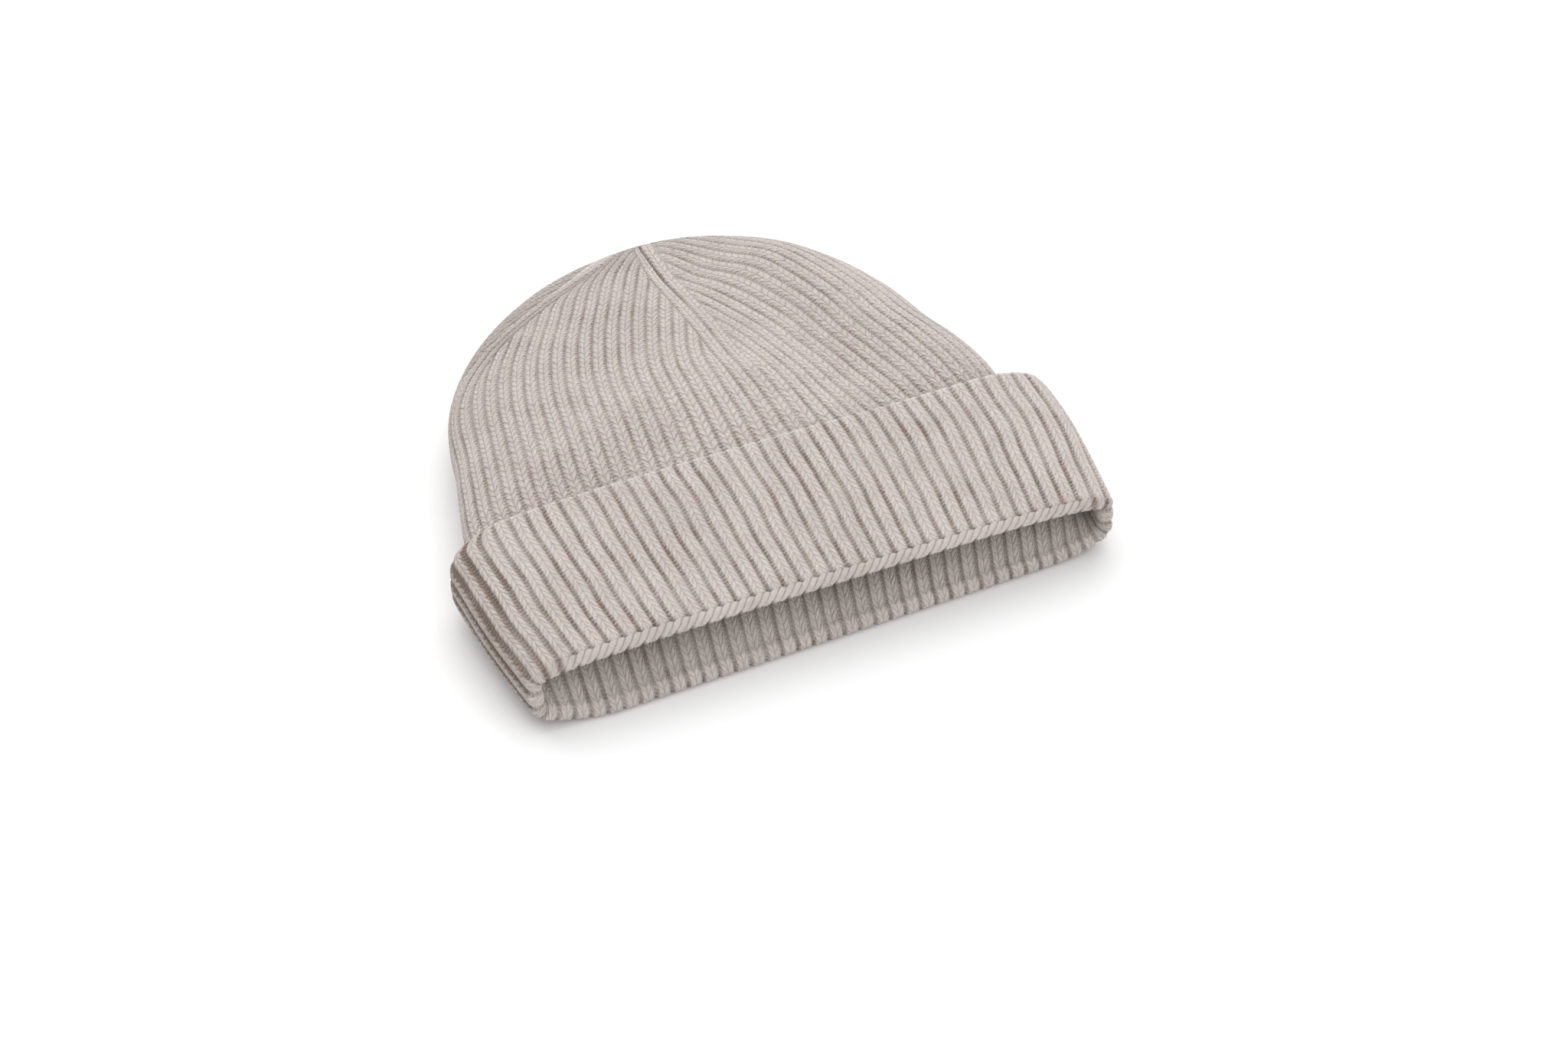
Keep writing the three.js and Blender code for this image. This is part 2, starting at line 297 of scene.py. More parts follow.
def crown_loop(station):
    y = station_y(station)
    left = math.cos(math.radians(max(station, 0)))

    def towards_tip(value, goal, power):
        return goal + (value - goal) * left**power

    return Loop(
        half=towards_tip(value_at(CROWN_SECTIONS, "half", y), 0, DOME_HALF_POWER),
        top=towards_tip(value_at(CROWN_SECTIONS, "top", y), TIP[2], DOME_TOP_POWER),
        low=towards_tip(crown_floor(y) - FLATTENED, TIP[2], 1),
        widest=towards_tip(value_at(CROWN_SECTIONS, "widest", y), TIP[2], 1),
        power=value_at(CROWN_SECTIONS, "power", y),
        low_power=CROWN_LOW_POWER,
        centre=towards_tip(middle_at(y), TIP[0], DOME_CENTRE_POWER),
    )


def crown_points(station, share):
    """The crown lines the cuff at the mouth, and takes its own section by the cuff's upper edge."""
    y = station_y(station)
    own = crown_loop(station).at(share)
    if y < FREE_AT:
        lining = cuff_loop(y).inside(share, INNER_LAYER)
        own = lining + (own - lining) * smoothstep(y, FREE_FROM, FREE_AT)
    return np.stack((own[..., 0], np.full(share.shape, y), own[..., 1]), -1)


STATION_STEP = 0.5


def crown_normals(station, share):
    around = crown_points(station, share + SHARE_STEP) - crown_points(station, share - SHARE_STEP)
    first = max(station - STATION_STEP, CROWN_START - DART_START)
    along = crown_points(station + STATION_STEP, share) - crown_points(first, share)
    normals = np.cross(around, along)
    return normals / np.linalg.norm(normals, axis=-1, keepdims=True)


# Lie


def distance_to_fold(fold, x, y):
    start = np.array(fold["start"], float)
    run = np.array(fold["end"], float) - start
    t = np.clip(((x - start[0]) * run[0] + (y - start[1]) * run[1]) / (run @ run), 0, 1)
    return np.hypot(x - start[0] - t * run[0], y - start[1] - t * run[1])


def settle(points):
    """Gives the points of the evenly laid hat their places on the hat as it lies."""
    x, y, z = points[..., 0], points[..., 1], points[..., 2]
    near_mouth = 1 - smoothstep(y, 0, CUFF_EDGE)
    upper_side = smoothstep(z, *UPPER_SIDE)
    lip_height = CUFF_SECTIONS["top"][0]
    reach = UNDERLIP_REACH + UNDERLIP_SKEW * x
    reach = reach * (1 - UNDERLIP_CORNER * smoothstep(-x, *UNDERLIP_CORNER_FROM))
    reach = reach * (1 - np.clip(z / lip_height, 0, 1)) * near_mouth
    skew = MOUTH_SKEW * x * (1 - smoothstep(y, CUFF_EDGE, TIP[1]))
    lift = 0
    for fold in FOLDS:
        share = distance_to_fold(fold, x, y) / fold["width"]
        lift = lift + fold["rise"] * np.exp(-share * share) * upper_side
    return np.stack((x, y - reach + skew, z + lift), -1)


# Meshes. Each corner has three pairs of UVs: ribs and courses, the lip's strands and how much of a
# lip there is, and how far the knitting is opened and how much of an inside there is. On the crown
# the seams of the darts count as opened. The material paints shade where the knitting is opened
# and paints light on the lip and inside; on the cuff it takes the opened knitting at the left end
# only, fading out round the roll.

UV_MAPS = ("knit", "trim", "tone")
UV_WIDTH = 2 * len(UV_MAPS)


class Knit:
    """A closed mesh from grids of points, with a UV map for each pair."""

    def __init__(self, name):
        self.name = name
        self.points = []
        self.corners = []
        self.uvs = []
        self.count = 0

    def add_points(self, points):
        """Adds an array of points and returns their numbers in an array of the same shape."""
        flat = points.reshape(-1, 3)
        numbers = np.arange(self.count, self.count + len(flat)).reshape(points.shape[:-1])
        self.points.append(flat)
        self.count += len(flat)
        return numbers

    def add_quads(self, a, b, c, d, uv_a, uv_b, uv_c, uv_d):
        """Adds two triangles for each quad, and leaves out those that have no area."""
        for corners, uvs in (((a, b, c), (uv_a, uv_b, uv_c)), ((a, c, d), (uv_a, uv_c, uv_d))):
            corners = np.stack(corners, -1).reshape(-1, 3)
            uvs = np.stack(uvs, -2).reshape(-1, 3, UV_WIDTH)
            whole = (
                (corners[:, 0] != corners[:, 1])
                & (corners[:, 1] != corners[:, 2])
                & (corners[:, 2] != corners[:, 0])
            )
            self.corners.append(corners[whole])
            self.uvs.append(uvs[whole])

    def add_cells(self, around, uvs, at, outward):
        """Adds the cells of a grid that start at the given columns. Its columns run round the hat,
        and the first comes again at the end."""
        first, second = (slice(None, -1), slice(1, None))
        if not outward:
            first, second = second, first
        cells = ((first, at), (second, at), (second, at + 1), (first, at + 1))
        self.add_quads(*(around[cell] for cell in cells), *(uvs[cell] for cell in cells))

    def add_grid(self, numbers, uvs):
        """Joins the rows of a whole grid. uvs has one column more, for the end of the turn."""
        around = np.concatenate((numbers, numbers[:, :1]), 1)
        self.add_cells(around, uvs, np.arange(numbers.shape[1]), True)

    def make(self, offset, material):
        points = (np.concatenate(self.points) + offset) * MM
        corners = np.concatenate(self.corners)
        uvs = np.concatenate(self.uvs)
        used, corners = np.unique(corners, return_inverse=True)
        points = points[used]
        corners = corners.reshape(-1)
        mesh = bpy.data.meshes.new(self.name)
        mesh.vertices.add(len(points))
        mesh.vertices.foreach_set("co", points.astype(np.float32).ravel())
        mesh.loops.add(len(corners))
        mesh.loops.foreach_set("vertex_index", corners.astype(np.int32))
        mesh.polygons.add(len(corners) // 3)
        mesh.polygons.foreach_set("loop_start", np.arange(0, len(corners), 3, dtype=np.int32))
        uvs = uvs.reshape(-1, len(UV_MAPS), 2).astype(np.float32)
        for index, name in enumerate(UV_MAPS):
            layer = mesh.uv_layers.new(name=name)
            layer.data.foreach_set("uv", uvs[:, index].ravel())
        mesh.update(calc_edges=True)
        mesh.validate()
        mesh.shade_smooth()
        mesh.materials.append(material)
        piece = bpy.data.objects.new(self.name, mesh)
        bpy.context.scene.collection.objects.link(piece)
        return piece


def crowded(ribs):
    """Moves columns towards the grooves, so that their steep sides get points enough."""
    return ribs + CROWDING * np.sin(2 * math.pi * ribs)


def rib_depth(ribs, groove, crease, opened=0.0):
    """How far a rib's surface lies below its highest line. A rib's middle is at a whole number.
    Where the knitting is opened the ribs are narrower and the grooves deeper."""
    aside = np.abs(ribs - np.round(ribs))
    start = FLANK[0] - OPENED_FLANK[0] * opened
    end = FLANK[1] - OPENED_FLANK[1] * opened
    depth = groove * (1 + OPENED_DEEPER * opened) * smoothstep(aside, start, end)
    return depth + crease * np.exp(-((aside / CREASE_WIDTH) ** 2))


def path_lengths(points):
    """How far along its column each point of a grid lies, from the first row."""
    steps = np.linalg.norm(np.diff(points, axis=0), axis=-1)
    return np.concatenate((np.zeros((1, points.shape[1])), np.cumsum(steps, 0)))


def wrapped(ribs, courses, strands, lip, opened, inside):
    """UVs of a grid, with the first column again at the end, one turn on."""
    layers = np.broadcast_arrays(ribs, courses, strands, lip, opened, inside)
    uvs = np.stack(layers, -1).astype(float)
    turn = [RIB_COUNT, 0.0, RIB_COUNT * STRANDS_PER_RIB, 0.0, 0.0, 0.0]
    return np.concatenate((uvs, uvs[:, :1] + turn), 1)


def courses_on(uvs, courses):
    """The same UVs, a number of courses further on."""
    return uvs + [0.0, courses, 0.0, 0.0, 0.0, 0.0]


# Cuff: rows once round its thickness, down the outer wall, round the roll, in along the return and
# back on the hidden side. Each row has the part that it lies on, a Y, and an angle round the roll
# or round the upper edge.

WALL_ROW_STEP = 1.4
ROLL_ROWS = 20
RETURN_ROW_STEP = 1.5
HIDDEN_ROW_STEP = 12.0
EDGE_ROWS = 8

# The wall's ribs stray sideways in waves, by WAVER of a rib. Each wave has its share of that, its
# length up the cuff and how often it comes round the hat. WAVER_FROM says from which Y on.

WAVER = 0.035
WAVES = ((1.0, 36.0, 5), (0.5, 21.0, -11))
WAVER_FROM = (4.0, 18.0)

# Grooves are shallower towards the upper edge: by how far below it, and how deep they still are.

RIM = (-0.6, 2.2)
RIM_GROOVE = 0.3
EDGE_GROOVE = 0.5

# Lip: strands that run slantwise round the roll, below a line of stitches, on the upper side only.
# The line's Y is where it would be if the wall ran straight on, so it lies 1.1 mm round the roll.

SIDE_BLEND = (0.05, 0.35)
STITCH_LINE_Y = 0.9
STITCH_LINE_DEPTH = 0.8
STITCH_LINE_WIDTH = 0.55
STITCH_LINE_DASH = 0.6
LIP_FROM = (0.0, 1.0)
LIP_FLATTENS = 0.8
STRANDS_PER_RIB = 2
STRAND_HEIGHT = 0.6
STRAND_SLANT = 0.13
STRAND_END = 2.2
STRAND_END_BLEND = 0.5

# Inside: it starts between these angles, round the roll and round the upper edge alike. Its grooves
# are shallower, and on the lower side its ribs drift sideways by INSIDE_DRIFT ribs and the return
# rises from the floor.

INSIDE_FROM = (1.6, 2.8)
INSIDE_GROOVE = 0.75
INSIDE_DRIFT = 1.1
INSIDE_RISE = 6.0
INSIDE_RISE_FROM = (-0.1, 0.15)

# Ends: the knitting is opened where it bends round at the cuff's left and right end. At the left
# end the material paints shade there, on the wall and fading out round the roll: darker, wider
# grooves and a darker tone all over. Round the roll the grooves are flattened there.

OPENED_WIDTH = 0.035
LEFT_END = ((0.06, 0.10), (0.92, 0.96))
PAINTED_END_SHADE_UP_TO = (0.0, 0.9)
FLAT_FROM = (0.2, 1.2)
FLATTENS = 0.7

# Corners of the upper edge: from which Y on and how far out they are pulled in, and by how much.

CORNER_FROM = 55.0
CORNER_SIDES = (96.0, 116.0)
CORNER_POWER = 3
LEFT_CORNER = 8.0
RIGHT_CORNER = 1.5


def spaced(start, end, step):
    count = max(1, round(abs(end - start) / step))
    return np.linspace(start, end, count + 1)


def cuff_rows():
    top = CUFF_EDGE - EDGE_ROUNDING
    rows = []
    for y in spaced(top, ROLL_CENTRE_Y, WALL_ROW_STEP)[:-1]:
        rows.append({"part": "wall", "y": y, "angle": 0.0})
    for angle in np.linspace(0, math.pi, ROLL_ROWS + 1):
        rows.append({"part": "roll", "y": ROLL_CENTRE_Y, "angle": angle})
    for y in spaced(ROLL_CENTRE_Y, RETURN_END, RETURN_ROW_STEP)[1:]:
        rows.append({"part": "return", "y": y, "angle": math.pi})
    for y in spaced(RETURN_END, CREASE_Y, HIDDEN_ROW_STEP):
        rows.append({"part": "return_back", "y": y, "angle": 0.0})
    for y in spaced(CREASE_Y, top, HIDDEN_ROW_STEP):
        rows.append({"part": "wall_back", "y": y, "angle": 0.0})
    for angle in np.linspace(0, math.pi, EDGE_ROWS + 1)[1:-1]:
        rows.append({"part": "edge", "y": top, "angle": angle})
    return rows


def waver(y, share):
    """How far the cuff's ribs stray sideways on their way up, as a share of the turn."""
    stray = 0.0
    for part, length, times in WAVES:
        stray = stray + part * WAVER * np.sin(2 * math.pi * (y / length + times * share))
    return stray / RIB_COUNT * smoothstep(y, *WAVER_FROM)


def upper_side(share):
    return smoothstep(np.sin(2 * math.pi * share), *SIDE_BLEND)


def lower_side(share):
    return smoothstep(-np.sin(2 * math.pi * share), *SIDE_BLEND)


def left_end(share):
    """1 at the cuff's left end, where the turn starts and ends, and 0 away from it."""
    turn = share % 1.0
    return 1 - smoothstep(turn, *LEFT_END[0]) * (1 - smoothstep(turn, *LEFT_END[1]))


def opened_at(share):
    """How far the knitting is opened, by how near the cuff's left or right end is."""
    from_end = np.minimum(share % 0.5, 0.5 - share % 0.5)
    return np.exp(-((from_end / OPENED_WIDTH) ** 2))


def lip_at(row, share, ribs):
    """The lip's strands, how much of a lip there is, and the depth of the line of stitches."""
    below_line = STITCH_LINE_Y - row["y"] + ROLL_RADIUS * row["angle"]
    strands = STRANDS_PER_RIB * (ribs + STRAND_SLANT * below_line)
    lip = upper_side(share) * smoothstep(below_line, *LIP_FROM)
    end = (STRAND_END - STRAND_END_BLEND, STRAND_END + STRAND_END_BLEND)
    lip = lip * (1 - smoothstep(row["angle"], *end))
    if row["part"] in ("return_back", "wall_back", "edge"):
        lip = np.zeros_like(lip)
    line = upper_side(share) * math.exp(-((below_line / STITCH_LINE_WIDTH) ** 2))
    dashes = 1 - STITCH_LINE_DASH + STITCH_LINE_DASH * np.cos(2 * math.pi * (ribs - 0.5))
    return strands, lip, STITCH_LINE_DEPTH * line * dashes


def groove_at(angle, ribs, opened):
    """The grooves of a row, shallower inside and where they run round the mouth's two ends."""
    groove = rib_depth(ribs, CUFF_GROOVE, CUFF_CREASE, opened)
    groove = groove * (1 - FLATTENS * (opened * smoothstep(angle, *FLAT_FROM)))
    return groove * (1 - (1 - INSIDE_GROOVE) * smoothstep(angle, *INSIDE_FROM))


def cuff_row_points(row, share, ribs):
    """One row's points, and for the material the strands of the lip, how much of a lip there is,
    how much painted shade the opened knitting of the left end gets and how much of an inside there
    is."""
    part, y, angle = row["part"], row["y"], row["angle"]
    opened = opened_at(share)
    groove = groove_at(angle, ribs, opened)
    strands, lip, line = lip_at(row, share, ribs)
    rise = STRAND_HEIGHT * lip * np.cos(2 * math.pi * strands)
    depth = groove * (1 - LIP_FLATTENS * lip)
    back = 0.0
    if part == "wall":
        rimmed = smoothstep(CUFF_EDGE - EDGE_ROUNDING - y, *RIM)
        depth = depth * (RIM_GROOVE + (1 - RIM_GROOVE) * rimmed) + line - rise
    elif part == "roll":
        radius = ROLL_RADIUS - depth - line + rise
        depth = ROLL_RADIUS - radius * math.cos(angle)
        back = radius * math.sin(angle)
    elif part == "return":
        depth = INNER_LAYER + RIB_HEIGHT + FABRIC - groove
    elif part == "return_back":
        depth = INNER_LAYER + RIB_HEIGHT - np.minimum(groove, RIB_HEIGHT)
    elif part == "wall_back":
        depth = np.minimum(groove, RIB_HEIGHT) + FABRIC
    else:
        depth = RIM_GROOVE * groove + (FABRIC / 2) * (1 + math.cos(angle))
        back = -(EDGE_ROUNDING - EDGE_GROOVE * groove) * math.sin(angle)
    lower = lower_side(share)
    if part in ("wall", "wall_back", "edge"):
        share = share + waver(y, share)
    if part in ("return", "return_back"):
        share = share - lower * INSIDE_DRIFT / RIB_COUNT * (y - ROLL_CENTRE_Y) / RETURN_END
    place = cuff_loop(y).inside(share, depth)
    floor = 0.0 if part == "wall" or (part == "roll" and angle == 0) else depth
    z = np.maximum(place[:, 1], floor)
    if part == "return":
        inward = (y - ROLL_CENTRE_Y) / (RETURN_END - ROLL_CENTRE_Y)
        slope = math.sin(math.pi / 2 * inward) * smoothstep(inward, *INSIDE_RISE_FROM)
        z = z + lower * INSIDE_RISE * slope
    points = np.stack((place[:, 0], np.broadcast_to(y - back, z.shape), z), -1)
    # Painted shade for the opened knitting at the cuff's left end, fading out round the roll
    painted_end_shade = opened * left_end(share) * (1 - smoothstep(angle, *PAINTED_END_SHADE_UP_TO))
    inside = np.full_like(lip, smoothstep(angle, *INSIDE_FROM))
    return points, np.stack((strands, lip, painted_end_shade, inside), -1)


def round_corners(points):
    """Draws the cuff's sides in towards its upper edge, as turned-up knitting pulls in there."""
    x, y = points[..., 0], points[..., 1]
    near = np.clip((y - CORNER_FROM) / (CUFF_EDGE - CORNER_FROM), 0, 1) ** CORNER_POWER
    sides = smoothstep(np.abs(x - middle_at(CUFF_EDGE)), *CORNER_SIDES)
    pull = np.where(x < 0, LEFT_CORNER, RIGHT_CORNER) * near * sides
    return np.stack((x - np.sign(x) * pull, y, points[..., 2]), -1)


def make_cuff():
    count = RIB_COUNT * CUFF_COLUMNS_PER_RIB
    ribs = crowded(np.arange(count) / CUFF_COLUMNS_PER_RIB + 0.5)
    share = FIRST_DART + (ribs - 0.5) / RIB_COUNT
    rows = [cuff_row_points(row, share, ribs) for row in cuff_rows()]
    points, trim = (np.stack(items) for items in zip(*rows))
    knit = Knit("cuff_knit")
    numbers = knit.add_points(settle(round_corners(points)))
    courses = path_lengths(points) / COURSE
    uvs = wrapped(ribs, courses, *np.moveaxis(trim, -1, 0))
    last = np.linalg.norm(points[0] - points[-1], axis=-1) / COURSE
    closing = np.concatenate((uvs[-1:], courses_on(uvs[-1:], last.mean())))
    knit.add_grid(numbers, uvs)
    knit.add_grid(numbers[[-1, 0]], closing)
    return knit


# Crown: an outer and an inner skin, in rows from the mouth to the tip.

HIDDEN_UP_TO = 60.0
CROWN_HIDDEN_STEP = 5.0
CROWN_ROW_STEP = 1.25
DOME_ROW_STEP = 1.0
DOME_END = 88.5
INNER_ROW_STEP = 5.0
INNER_DOME_END = 80.0
EDGE_COURSES = 1.0
TIP_COURSES = 0.5
TOLERANCE = 1e-6
SNAP = 0.04
RIB_END_FADE = 0.30
VALLEY_SHARE = 0.85
RELIEF_ENDS = (80.0, 90.0)


def crown_stations(outer):
    start = CROWN_START - DART_START
    if outer:
        hidden = spaced(start, HIDDEN_UP_TO - DART_START, CROWN_HIDDEN_STEP)[:-1]
        body = spaced(HIDDEN_UP_TO - DART_START, 0, CROWN_ROW_STEP)[:-1]
        dome = spaced(0, DOME_END, DOME_ROW_STEP)
        return np.concatenate((hidden, body, dome))
    body = spaced(start, 0, INNER_ROW_STEP)[:-1]
    dome = spaced(0, INNER_DOME_END, INNER_ROW_STEP)
    return np.concatenate((body, dome))


def lean_at(station, place):
    """How far round the body the ribs are carried at a station, for places counted in ribs."""
    if station >= 0:
        return np.zeros_like(place)
    away = np.clip(np.abs(place - LEAN["middle"]) / LEAN["width"], 0, 1)
    ramp = (station / LEAN["station"]) ** 2 * (1 - smoothstep(-station, *LEAN["ends"]))
    return LEAN["ribs"] * (0.5 + 0.5 * np.cos(math.pi * away)) * ramp


def gore_edges(station):
    """For each gore: its two darts' places in ribs round the section, and the ribs that are left
    on the two sides of its middle."""
    left_dart, upper_left, lower_left, middle, right = (
        float(value_at(DARTS, name, station)) for name in list(DARTS)[1:]
    )
    return (
        (left_dart, MIDDLE_DART, upper_left, middle),
        (MIDDLE_DART, RIGHT_DART, middle, right),
        (RIGHT_DART, BACK_DART, right, middle),
        (BACK_DART, left_dart + RIB_COUNT, middle, lower_left),
    )


def crown_row(station, outer):
    """One row of a skin: its points, the column whose point each column takes, the rib coordinates
    for the spines and for the ribs beside them, how much of a seam there is, and which columns lie
    on a spine."""
    per_gore = RIBS_PER_GORE * CROWN_COLUMNS_PER_RIB
    half = RIBS_PER_GORE / 2
    column = np.arange(per_gore)
    across = crowded(column / CROWN_COLUMNS_PER_RIB + 0.5) - 0.5 - half
    from_dart = half - np.abs(across)
    on_left = across < 0
    on_spine = from_dart <= SPINE_RIBS + TOLERANCE
    rows = []
    for gore, (start, end, left, right) in enumerate(gore_edges(station)):
        width = left + right
        spine_width = min(SPINE_RIBS, width * SPINE_SHARE)
        low, high = spine_width - left, right - spine_width
        from_edge = from_dart * spine_width / SPINE_RIBS
        spine_place = np.where(on_left, from_edge - left, right - from_edge)
        ended_low = ~on_spine & (across < low + SNAP)
        ended_high = ~on_spine & (across > high - SNAP)
        place = np.where(on_spine, spine_place, np.clip(across, low, high))
        place = np.where(ended_low, low, np.where(ended_high, high, place))
        spread = (place + left) / width
        share = start + (end - start) * spread
        first = gore * per_gore
        takes = first + column
        takes = np.where(ended_low, first + SPINE_COLUMNS, takes)
        takes = np.where(ended_high, first + per_gore - SPINE_COLUMNS, takes)
        middle = gore * RIBS_PER_GORE + half + 0.5
        rib = middle + np.where(on_spine, across, place)
        at_end = from_dart >= SPINE_RIBS - TOLERANCE
        beside = np.where(at_end, middle + np.where(on_left, low, high), rib)
        beside = np.where(on_spine, beside, rib)
        to_spine = np.minimum(place - low, high - place)
        rows.append((share, takes, rib, beside, to_spine, spread, on_spine, from_dart))
    share, takes, rib, beside, to_spine, spread, on_spine, from_dart = (
        np.concatenate(items) for items in zip(*rows)
    )
    depth = rib_depth(rib, CROWN_GROOVE, CROWN_CREASE)
    valley = CROWN_GROOVE * VALLEY_SHARE
    full_rib = smoothstep(to_spine, 0.0, RIB_END_FADE)
    seam = smoothstep(station, *SEAM_FROM) * np.exp(-((from_dart / SEAM_WIDTH) ** 2))
    depth = np.where(on_spine, depth + SEAM_DEPTH * seam, valley + (depth - valley) * full_rib)
    depth = depth * (1 - smoothstep(station, *RELIEF_ENDS))
    puffed = smoothstep(station, 0, FULL_PUFF_AT) * (1 - smoothstep(station, *PUFF_ENDS))
    puff = GORE_PUFF * puffed * np.cos((spread - 0.5) * math.pi) ** 2
    fabric = 0.0 if outer else FABRIC
    share = (share + lean_at(station, share)) / RIB_COUNT
    point = crown_points(station, share)
    point = point - crown_normals(station, share) * (depth + fabric - puff)[:, None]
    floor = crown_floor(point[:, 1]) + (0.0 if outer else depth + fabric)
    point[:, 2] = np.maximum(point[:, 2], floor)
    return point, takes, rib, beside, seam, on_spine


def add_crown_skin(knit, outer):
    """One skin of the crown. Past the darts' start the ribs end on the spine that runs along each
    side of a dart."""
    rows = [crown_row(station, outer) for station in crown_stations(outer)]
    *layers, on_spines = zip(*rows)
    points, takes, ribs, beside, seam = (np.stack(items) for items in layers)
    on_spine = on_spines[0]
    courses = path_lengths(points) / COURSE
    numbers = knit.add_points(settle(points))
    numbers = np.take_along_axis(numbers, takes, 1)
    around = np.concatenate((numbers, numbers[:, :1]), 1)
    # The seams count as opened, so the material paints shade in their grooves
    spine_uvs = wrapped(ribs, courses, 0.0, 0.0, seam, 0.0)
    rib_uvs = wrapped(beside, courses, 0.0, 0.0, 0.0, 0.0)
    spine_cell = on_spine & np.roll(on_spine, -1)
    for cells, uvs in ((spine_cell, spine_uvs), (~spine_cell, rib_uvs)):
        at = np.flatnonzero(cells)
        knit.add_cells(around, uvs, at, outer)
    tip = TIP if outer else TIP - np.array((0, INNER_TIP_BACK, 0))
    tip_number = knit.add_points(settle(tip[None, :]))[0]
    tip_rows = np.stack((around[-1], np.full_like(around[-1], tip_number)))
    tip_uvs = np.stack((spine_uvs[-1], courses_on(spine_uvs[-1], TIP_COURSES)))
    knit.add_cells(tip_rows, tip_uvs, np.arange(numbers.shape[1]), outer)
    return numbers[0], spine_uvs[0]


def make_crown():
    knit = Knit("crown_knit")
    outer_row, outer_uvs = add_crown_skin(knit, True)
    inner_row, inner_uvs = add_crown_skin(knit, False)
    edge = np.stack((courses_on(inner_uvs, -EDGE_COURSES), outer_uvs))
    knit.add_grid(np.stack((inner_row, outer_row)), edge)
    return knit


# Materials


class Nodes:
    """Shader nodes that are joined as they are named."""

    def __init__(self, material):
        material.use_nodes = True
        self.tree = material.node_tree
        self.tree.nodes.clear()

    def add(self, kind, **settings):
        node = self.tree.nodes.new(kind)
        for name, value in settings.items():
            setattr(node, name, value)
        return node

    def link(self, source, target):
        self.tree.links.new(source, target)

    def feed(self, value, socket):
        if isinstance(value, bpy.types.NodeSocket):
            self.link(value, socket)
        else:
            socket.default_value = value

    def math(self, operation, *values, clamp=False):
        node = self.add("ShaderNodeMath", operation=operation, use_clamp=clamp)
        for index, value in enumerate(values):
            self.feed(value, node.inputs[index])
        return node.outputs[0]

    def step(self, value, low, high):
        node = self.add("ShaderNodeMapRange", interpolation_type="SMOOTHSTEP")
        for index, item in enumerate((value, low, high, 0.0, 1.0)):
            self.feed(item, node.inputs[index])
        return node.outputs[0]

    def fall(self, value, low, high):
        return self.math("SUBTRACT", 1.0, self.step(value, low, high))

    def split(self, vector):
        node = self.add("ShaderNodeSeparateXYZ")
        self.link(vector, node.inputs[0])
        return node.outputs

    def uv(self, name):
        return self.split(self.add("ShaderNodeUVMap", uv_map=name).outputs[0])[:2]

    def noise(self, vector, name):
        node = self.add("ShaderNodeTexNoise")
        self.feed(vector, node.inputs["Vector"])
        for socket, value in zip(("Scale", "Detail", "Roughness"), NOISE[name]):
            self.feed(value, node.inputs[socket])
        return node.outputs["Fac"]

    def total(self, start, *terms):
        """A start with values added to it, each times its weight."""
        for value, weight in terms:
            start = self.math("MULTIPLY_ADD", value, weight, start)
        return start

    def mix(self, share, low, high):
        node = self.add("ShaderNodeMix", data_type="RGBA")
        for socket, value in zip([node.inputs[0], *node.inputs[6:8]], (share, low, high)):
            self.feed(value, socket)
        return node.outputs[2]

    def combine(self, x, y, z=0.0):
        node = self.add("ShaderNodeCombineXYZ")
        for index, value in enumerate((x, y, z)):
            self.feed(value, node.inputs[index])
        return node.outputs[0]


def linear(red, green, blue):
    """A display colour of 0 to 255 as the linear colour that shaders use."""
    values = np.array((red, green, blue)) / 255
    values = np.where(values <= 0.04045, values / 12.92, ((values + 0.055) / 1.055) ** 2.4)
    return (*values.tolist(), 1.0)


WOOL = linear(213, 203, 198)
WOOL_PINK = linear(212, 196, 195)
WOOL_YELLOW = linear(214, 204, 190)
WOOL_GREY = linear(190, 190, 185)
# Light flecks, and the colour of the painted light on the lip and inside
WOOL_FLECK_AND_PAINTED_LIGHT = linear(233, 226, 219)
# Painted shade: grooves, creases and gaps are darkened towards this, as are random clouds
PAINTED_SHADE_AND_CLOUD_COLOUR = linear(126, 109, 97)
BUMP_DISTANCE = 0.5 * MM

# How the two pieces are knitted. Lean is how far a stitch's legs run along the rib, in courses, vee
# is how plainly the stitches stand apart, in relief and in the painted shade of their creases, and
# groove how much painted shade the grooves get. Where the knitting is opened, the fourth adds
# painted shade in the grooves, and the fifth paints shade over it all and softens the grooves'
# edges.

CROWN_STITCH = {"lean": 0.7, "vee": 0.8, "groove": 0.42, "opened_painted_shade": 1.0, "painted_end_shade": 0.0}
CUFF_STITCH = {"lean": 1.2, "vee": 0.65, "groove": 0.55, "opened_painted_shade": 0.35, "painted_end_shade": 0.16}

# Scale, detail and roughness of each noise

NOISE = {
    "wander": (260.0, 2.0, 0.5),
    "teeth": (700.0, 1.0, 0.5),
    "streaks": (1.3, 3.0, 0.65),
    "flecks": (1.6, 2.0, 0.6),
    "haze": (2300.0, 2.0, 0.7),
    "pink": (330.0, 3.0, 0.65),
    "yellow": (270.0, 3.0, 0.65),
    "ragged": (850.0, 2.0, 0.6),
    "depth": (55.0, 2.0, 0.5),
    "clouds": (34.0, 2.0, 0.5),
    "small_clouds": (120.0, 2.0, 0.5),
}

# How closely the fibres lie across a leg, along it, and how they change from rib to rib

FIBRES = {"streaks": (5.0, 1.3, 3.7), "flecks": (7.0, 3.0, 5.3)}

# Stitches, across a rib in parts of its width from its middle. A pair says where a form starts and
# where it is all there, or where it starts to end and has ended.

LEG_WIDTH = 0.38
LEG_FLAT = 1.15
LEG_SIDES_POWER = 3.0
LEG_ENDS_POWER = 2.5
CREST_END = (0.36, 0.46)
CENTRE_END = (0.0, 0.07)
FLANK_START = (0.26, 0.34)
DASH_START = (0.05, 0.40)
CREASE_START = (0.45, 1.0)
STRAND_GAP_START = (0.30, 0.5)
TEETH_PER_COURSE = 2.0
TEETH_WANDER = 5.0

